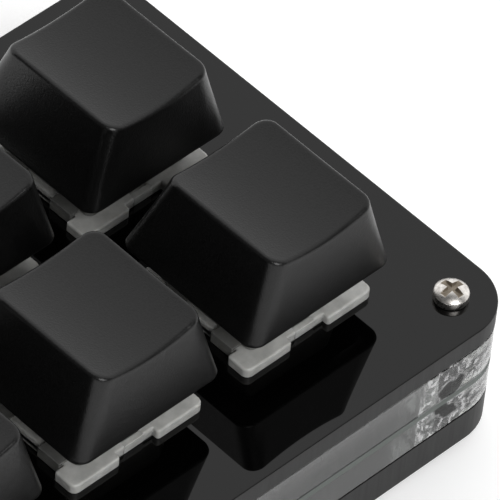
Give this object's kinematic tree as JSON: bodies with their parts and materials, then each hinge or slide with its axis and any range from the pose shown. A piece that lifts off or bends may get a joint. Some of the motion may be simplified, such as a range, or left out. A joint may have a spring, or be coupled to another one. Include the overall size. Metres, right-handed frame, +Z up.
{
  "type": "gaming keypad",
  "caption": "Small desk keypad: widely spaced sculpted black keys on a glossy black plate, over clear edge layers and a black base, with a cable socket in the back edge.",
  "frame": {"origin": "centre of the footprint at the underside of the feet", "axes": "+X along the rows of keys to the right, +Y to the back edge with the socket, +Z up"},
  "size_m": [0.0806, 0.057, 0.0311],
  "materials": {
    "cap_plastic": "fine grained black",
    "stem_plastic": "smooth red, guessed",
    "spring_steel": "bright wire",
    "hood_plastic": "milky translucent",
    "housing_plastic": "milky translucent",
    "contact_metal": "copper alloy",
    "black_acrylic": "polished black",
    "clear_acrylic": "clear with satin cut edges",
    "screw_nickel": "nickel plated",
    "standoff_metal": "nickel plated",
    "foot_rubber": "matte black",
    "board_laminate": "green solder mask",
    "socket_steel": "drawn sheet",
    "socket_plastic": "black",
    "chip_plastic": "moulded black",
    "capacitor_ceramic": "tan ceramic",
    "light_plastic": "white lens"
  },
  "bodies": {
    "case": {"top_plate": "black_acrylic", "bottom_plate": "black_acrylic", "upper_clear_frame": "clear_acrylic", "lower_clear_frame": "clear_acrylic", "top_screws": "screw_nickel", "bottom_screws": "screw_nickel", "standoffs": "standoff_metal", "rubber_feet": "foot_rubber", "circuit_board": "board_laminate", "usb_shell": "socket_steel", "usb_tongue": "socket_plastic", "controller_chip": "chip_plastic", "crystal": "socket_steel", "capacitors": "capacitor_ceramic", "diodes": "chip_plastic", "lights": "light_plastic", "spring_front_left": "spring_steel", "switch_top_front_left": "hood_plastic", "switch_base_front_left": "housing_plastic", "contacts_front_left": "contact_metal", "spring_front_middle": "spring_steel", "switch_top_front_middle": "hood_plastic", "switch_base_front_middle": "housing_plastic", "contacts_front_middle": "contact_metal", "spring_front_right": "spring_steel", "switch_top_front_right": "hood_plastic", "switch_base_front_right": "housing_plastic", "contacts_front_right": "contact_metal", "spring_back_left": "spring_steel", "switch_top_back_left": "hood_plastic", "switch_base_back_left": "housing_plastic", "contacts_back_left": "contact_metal", "spring_back_middle": "spring_steel", "switch_top_back_middle": "hood_plastic", "switch_base_back_middle": "housing_plastic", "contacts_back_middle": "contact_metal", "spring_back_right": "spring_steel", "switch_top_back_right": "hood_plastic", "switch_base_back_right": "housing_plastic", "contacts_back_right": "contact_metal"},
    "key_front_left": {"keycap_front_left": "cap_plastic", "stem_front_left": "stem_plastic"},
    "key_front_middle": {"keycap_front_middle": "cap_plastic", "stem_front_middle": "stem_plastic"},
    "key_front_right": {"keycap_front_right": "cap_plastic", "stem_front_right": "stem_plastic"},
    "key_back_left": {"keycap_back_left": "cap_plastic", "stem_back_left": "stem_plastic"},
    "key_back_middle": {"keycap_back_middle": "cap_plastic", "stem_back_middle": "stem_plastic"},
    "key_back_right": {"keycap_back_right": "cap_plastic", "stem_back_right": "stem_plastic"}
  },
  "joints": [
    {"name": "press_front_left", "type": "slide", "parent": "case", "child": "key_front_left", "axis": [0, 0, -1], "range_m": [0, 0.004], "stiffness_N_per_m": 75, "springref_m": -0.004, "deforming": ["spring_front_left"]},
    {"name": "press_front_middle", "type": "slide", "parent": "case", "child": "key_front_middle", "axis": [0, 0, -1], "range_m": [0, 0.004], "stiffness_N_per_m": 75, "springref_m": -0.004, "deforming": ["spring_front_middle"]},
    {"name": "press_front_right", "type": "slide", "parent": "case", "child": "key_front_right", "axis": [0, 0, -1], "range_m": [0, 0.004], "stiffness_N_per_m": 75, "springref_m": -0.004, "deforming": ["spring_front_right"]},
    {"name": "press_back_left", "type": "slide", "parent": "case", "child": "key_back_left", "axis": [0, 0, -1], "range_m": [0, 0.004], "stiffness_N_per_m": 75, "springref_m": -0.004, "deforming": ["spring_back_left"]},
    {"name": "press_back_middle", "type": "slide", "parent": "case", "child": "key_back_middle", "axis": [0, 0, -1], "range_m": [0, 0.004], "stiffness_N_per_m": 75, "springref_m": -0.004, "deforming": ["spring_back_middle"]},
    {"name": "press_back_right", "type": "slide", "parent": "case", "child": "key_back_right", "axis": [0, 0, -1], "range_m": [0, 0.004], "stiffness_N_per_m": 75, "springref_m": -0.004, "deforming": ["spring_back_right"]}
  ]
}
